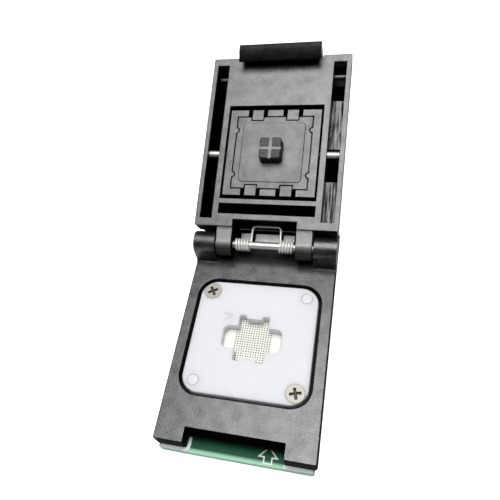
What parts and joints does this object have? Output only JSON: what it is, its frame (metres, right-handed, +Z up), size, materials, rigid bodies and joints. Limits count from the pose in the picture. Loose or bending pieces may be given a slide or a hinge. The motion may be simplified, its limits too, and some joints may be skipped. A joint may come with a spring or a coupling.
{
  "type": "programmer adapter socket",
  "caption": "Hinged clamshell socket for a small ball-grid memory chip on an adapter board with round plug pins, sprung lid open, with rocking chip presser and hooked latch.",
  "frame": {"origin": "centre of the field of eight plug pins, on the face of the pin strips that seats on the programmer", "axes": "+Z up out of the programmer, +Y from the latch notch to the hinge, +X to the right seen from the latch end"},
  "size_m": [0.03, 0.0841, 0.0353],
  "materials": {
    "black_plastic": "fine spark-eroded moulding grain",
    "white_plastic": "machined, satin",
    "cream_plastic": "satin",
    "steel": "drawn wire and ground pins",
    "nickel": "nickel plated",
    "gold": "gold plated",
    "green_board": "solder mask over glass-fibre board"
  },
  "bodies": {
    "base": {"base_housing": "black_plastic", "guide_plate": "white_plastic", "guide_plate_screws": "nickel", "guide_plate_dowels": "white_plastic", "contact_carrier": "cream_plastic", "contact_pins": "gold", "circuit_board": "green_board", "board_screws": "nickel", "pin_strip_left": "black_plastic", "pin_strip_right": "black_plastic", "plug_pins_left": "gold", "plug_pins_right": "gold", "hinge_pin": "steel", "hinge_spring_left": "steel", "hinge_spring_right": "steel"},
    "lid": {"lid_housing": "black_plastic", "hinge_spring_loop": "steel", "presser_pin_left": "steel", "presser_pin_right": "steel", "latch_pin": "steel", "latch_springs": "steel"},
    "presser": {"presser_carrier": "black_plastic", "presser_plate": "black_plastic", "chip_pusher": "black_plastic"},
    "latch": {"latch_lever": "black_plastic"}
  },
  "joints": [
    {"name": "lid_hinge", "type": "hinge", "parent": "base", "child": "lid", "pos_m": [0, 0.0197, 0.0108], "axis": [1, 0, 0], "range_deg": [0, 159], "stiffness_Nm_per_rad": 0.003, "springref_deg": -34.38, "deforming": ["hinge_spring_left", "hinge_spring_right"]},
    {"name": "latch_pivot", "type": "hinge", "parent": "lid", "child": "latch", "pos_m": [0, 0.05567, 0.02423], "axis": [-1, 0, 0], "range_deg": [0, 12], "stiffness_Nm_per_rad": 0.005, "springref_deg": -11.46, "deforming": ["latch_springs"]},
    {"name": "presser_rock", "type": "hinge", "parent": "lid", "child": "presser", "pos_m": [0, 0.03757, 0.01921], "axis": [1, 0, 0], "range_deg": [-1.5, 1.5]}
  ]
}
